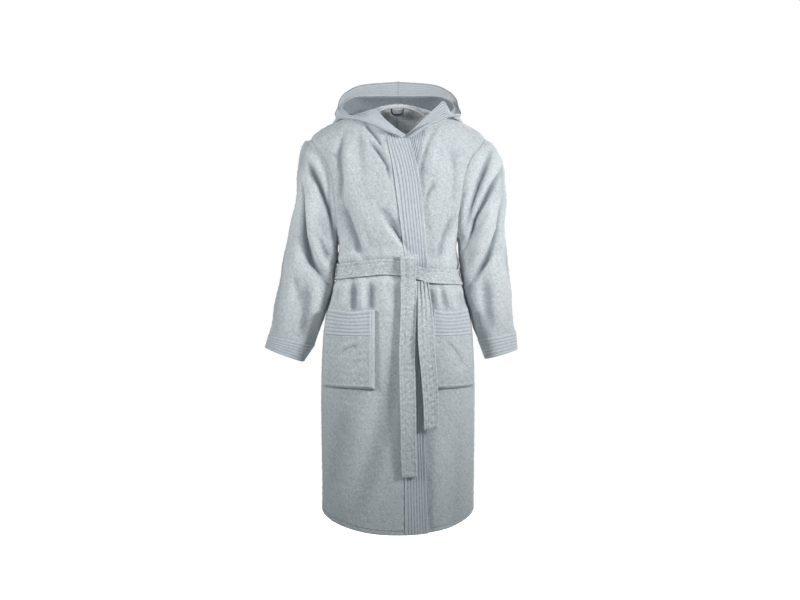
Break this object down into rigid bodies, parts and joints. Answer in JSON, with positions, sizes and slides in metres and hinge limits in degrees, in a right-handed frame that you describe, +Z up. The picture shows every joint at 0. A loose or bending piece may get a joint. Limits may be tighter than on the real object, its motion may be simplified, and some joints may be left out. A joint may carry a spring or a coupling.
{
  "type": "hooded bathrobe",
  "caption": "Hooded terry bathrobe with ribbed bands, patch pockets and a tied waist belt, shaped as worn.",
  "frame": {"origin": "middle of the shoulder line, at the height of the neck seam's sides, where a wearer's or a hanger's shoulders hold the robe", "axes": "+Z up, the front towards -Y, the wearer's left towards +X"},
  "size_m": [0.731, 0.3828, 1.3141],
  "materials": {
    "terry": "cut terry pile, matte",
    "ribbed": "stitched ribs of short velour, matte",
    "belt": "terry strip with stitched edges, matte",
    "label": "woven satin tape",
    "hanger": "woven cord, matte"
  },
  "bodies": {
    "robe": {"front_panel_right": "terry", "front_panel_left": "terry", "back_panel": "terry", "hem_front_right": "terry", "hem_front_left": "terry", "hem_back": "terry", "front_band_right": "ribbed", "front_band_left": "ribbed", "collar_right": "ribbed", "collar_left": "ribbed", "hood_side_right": "terry", "hood_side_left": "terry", "pocket_band_right": "ribbed", "pocket_right": "terry", "pocket_band_left": "ribbed", "pocket_left": "terry", "belt_waist": "belt", "belt_knot": "belt", "belt_loop_right": "belt", "belt_loop_left": "belt", "neck_label": "label"},
    "right_sleeve": {"sleeve_right": "terry", "cuff_right": "ribbed"},
    "left_sleeve": {"sleeve_left": "terry", "cuff_left": "ribbed"},
    "hood": {"hood_bag_right": "terry", "hood_bag_left": "terry", "hood_band_back": "ribbed"},
    "long_tail": {"belt_tail_long": "belt"},
    "short_tail": {"belt_tail_short": "belt"},
    "hanger": {"hanger_loop": "hanger"}
  },
  "joints": [
    {"name": "right_sleeve_raise", "type": "hinge", "parent": "robe", "child": "right_sleeve", "pos_m": [-0.25, 0.005, -0.044], "axis": [0, 1, 0], "range_deg": [0, 60]},
    {"name": "left_sleeve_raise", "type": "hinge", "parent": "robe", "child": "left_sleeve", "pos_m": [0.25, 0.005, -0.044], "axis": [0, -1, 0], "range_deg": [0, 60]},
    {"name": "hood_raise", "type": "hinge", "parent": "robe", "child": "hood", "pos_m": [0, 0.06, 0.1], "axis": [1, 0, 0], "range_deg": [0, 35]},
    {"name": "long_tail_swing", "type": "hinge", "parent": "robe", "child": "long_tail", "pos_m": [0.03, -0.124, -0.4675], "axis": [-1, 0, 0], "range_deg": [0, 60]},
    {"name": "short_tail_swing", "type": "hinge", "parent": "robe", "child": "short_tail", "pos_m": [0.07, -0.131, -0.4675], "axis": [-1, 0, 0], "range_deg": [0, 60]},
    {"name": "hanger_lift", "type": "hinge", "parent": "robe", "child": "hanger", "pos_m": [-0.002, 0.046, 0.046], "axis": [-1, 0, 0], "range_deg": [0, 150]}
  ]
}
